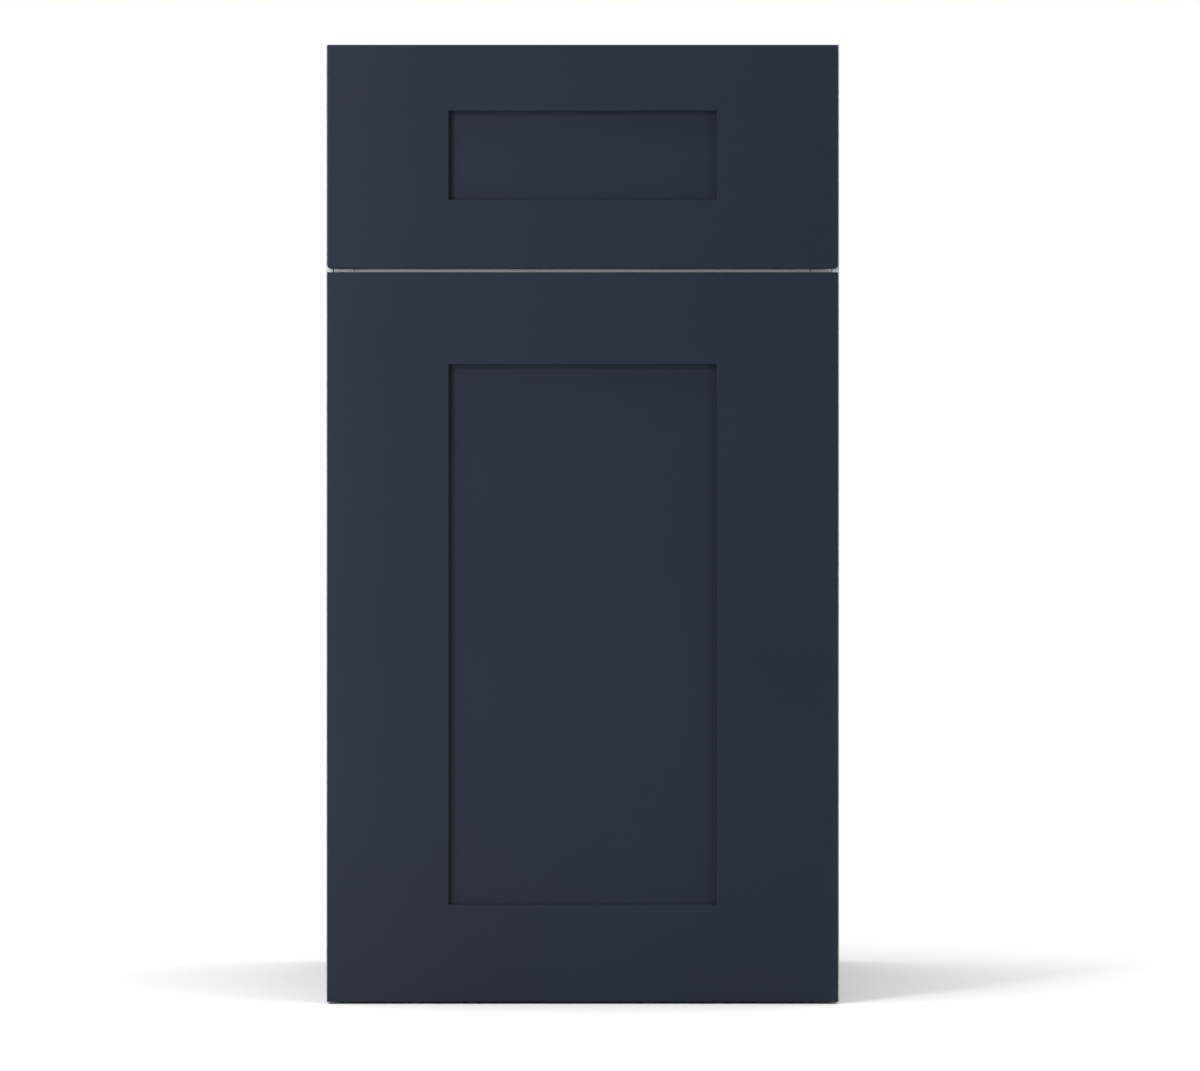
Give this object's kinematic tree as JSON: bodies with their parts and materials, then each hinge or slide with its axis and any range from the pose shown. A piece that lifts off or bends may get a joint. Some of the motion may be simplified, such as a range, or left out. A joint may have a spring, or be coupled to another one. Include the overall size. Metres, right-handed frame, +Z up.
{
  "type": "bathroom vanity cabinet",
  "caption": "Narrow frameless bathroom vanity base cabinet with a recessed-panel drawer front over a matching hinged door.",
  "frame": {"origin": "middle of the underside of the whole cabinet", "axes": "+Z up, -Y out of the drawer front and door, +X to the right seen from the front"},
  "size_m": [0.403, 0.535, 0.752],
  "materials": {
    "navy_paint": "satin navy paint",
    "white_board": "white melamine faced board",
    "birch": "clear lacquer",
    "zinc_plate": "zinc plated",
    "nickel_plate": "bright nickel plated",
    "grey_acetal": "moulded",
    "orange_acetal": "moulded"
  },
  "bodies": {
    "carcass": {"back_panel": "white_board", "bottom_panel": "white_board", "finished_end_left": "navy_paint", "finished_end_right": "navy_paint", "hanging_rail_lower": "white_board", "hanging_rail_upper": "white_board", "hinge_arm_lower": "nickel_plate", "hinge_arm_upper": "nickel_plate", "hinge_plate_lower": "zinc_plate", "hinge_plate_upper": "zinc_plate", "mid_stretcher": "white_board", "shelf": "white_board", "shelf_pin_front_left": "nickel_plate", "shelf_pin_front_right": "nickel_plate", "shelf_pin_rear_left": "nickel_plate", "shelf_pin_rear_right": "nickel_plate", "side_panel_left": "white_board", "side_panel_right": "white_board", "slide_cabinet_member_left": "zinc_plate", "slide_cabinet_member_right": "zinc_plate", "top_stretcher_front": "white_board", "top_stretcher_rear": "white_board"},
    "drawer": {"drawer_bottom": "birch", "drawer_box_back": "birch", "drawer_box_front": "birch", "drawer_front_panel": "navy_paint", "drawer_front_rail_bottom": "navy_paint", "drawer_front_rail_top": "navy_paint", "drawer_front_stile_left": "navy_paint", "drawer_front_stile_right": "navy_paint", "drawer_side_left": "birch", "drawer_side_right": "birch", "lock_body_left": "grey_acetal", "lock_body_right": "grey_acetal", "slide_drawer_member_left": "zinc_plate", "slide_drawer_member_right": "zinc_plate"},
    "door": {"door_panel": "navy_paint", "door_rail_bottom": "navy_paint", "door_rail_top": "navy_paint", "door_stile_left": "navy_paint", "door_stile_right": "navy_paint", "hinge_cup_lower": "nickel_plate", "hinge_cup_upper": "nickel_plate"},
    "slide_middle_left": {"slide_middle_member_left": "zinc_plate"},
    "carriage_lower_left": {"roller_carriage_lower_left": "grey_acetal"},
    "carriage_upper_left": {"roller_carriage_upper_left": "grey_acetal"},
    "lever_left": {"lock_lever_left": "orange_acetal"},
    "slide_middle_right": {"slide_middle_member_right": "zinc_plate"},
    "carriage_lower_right": {"roller_carriage_lower_right": "grey_acetal"},
    "carriage_upper_right": {"roller_carriage_upper_right": "grey_acetal"},
    "lever_right": {"lock_lever_right": "orange_acetal"}
  },
  "joints": [
    {"name": "drawer_slide", "type": "slide", "parent": "carcass", "child": "drawer", "axis": [0, -1, 0], "range_m": [0, 0.45]},
    {"name": "door_swing", "type": "hinge", "parent": "carcass", "child": "door", "pos_m": [-0.193, -0.254, 0.287], "axis": [0, 0, -1], "range_deg": [0, 95]},
    {"name": "slide_middle_left_slide", "type": "slide", "parent": "carcass", "child": "slide_middle_left", "axis": [0, -1, 0], "range_m": [0, 0.225]},
    {"name": "carriage_lower_left_slide", "type": "slide", "parent": "carcass", "child": "carriage_lower_left", "axis": [0, -1, 0], "range_m": [0, 0.1125]},
    {"name": "carriage_upper_left_slide", "type": "slide", "parent": "carcass", "child": "carriage_upper_left", "axis": [0, -1, 0], "range_m": [0, 0.3375]},
    {"name": "lever_left_press", "type": "hinge", "parent": "drawer", "child": "lever_left", "pos_m": [-0.1285, -0.216, 0.603], "axis": [0, 0, -1], "range_deg": [0, 12], "stiffness_Nm_per_rad": 0.05},
    {"name": "slide_middle_right_slide", "type": "slide", "parent": "carcass", "child": "slide_middle_right", "axis": [0, -1, 0], "range_m": [0, 0.225]},
    {"name": "carriage_lower_right_slide", "type": "slide", "parent": "carcass", "child": "carriage_lower_right", "axis": [0, -1, 0], "range_m": [0, 0.1125]},
    {"name": "carriage_upper_right_slide", "type": "slide", "parent": "carcass", "child": "carriage_upper_right", "axis": [0, -1, 0], "range_m": [0, 0.3375]},
    {"name": "lever_right_press", "type": "hinge", "parent": "drawer", "child": "lever_right", "pos_m": [0.1285, -0.216, 0.603], "axis": [0, 0, 1], "range_deg": [0, 12], "stiffness_Nm_per_rad": 0.05}
  ],
  "couplings": [
    {"joint": "slide_middle_left_slide", "follows": "drawer_slide", "ratio": 0.5},
    {"joint": "carriage_lower_left_slide", "follows": "drawer_slide", "ratio": 0.25},
    {"joint": "carriage_upper_left_slide", "follows": "drawer_slide", "ratio": 0.75},
    {"joint": "slide_middle_right_slide", "follows": "drawer_slide", "ratio": 0.5},
    {"joint": "carriage_lower_right_slide", "follows": "drawer_slide", "ratio": 0.25},
    {"joint": "carriage_upper_right_slide", "follows": "drawer_slide", "ratio": 0.75}
  ]
}
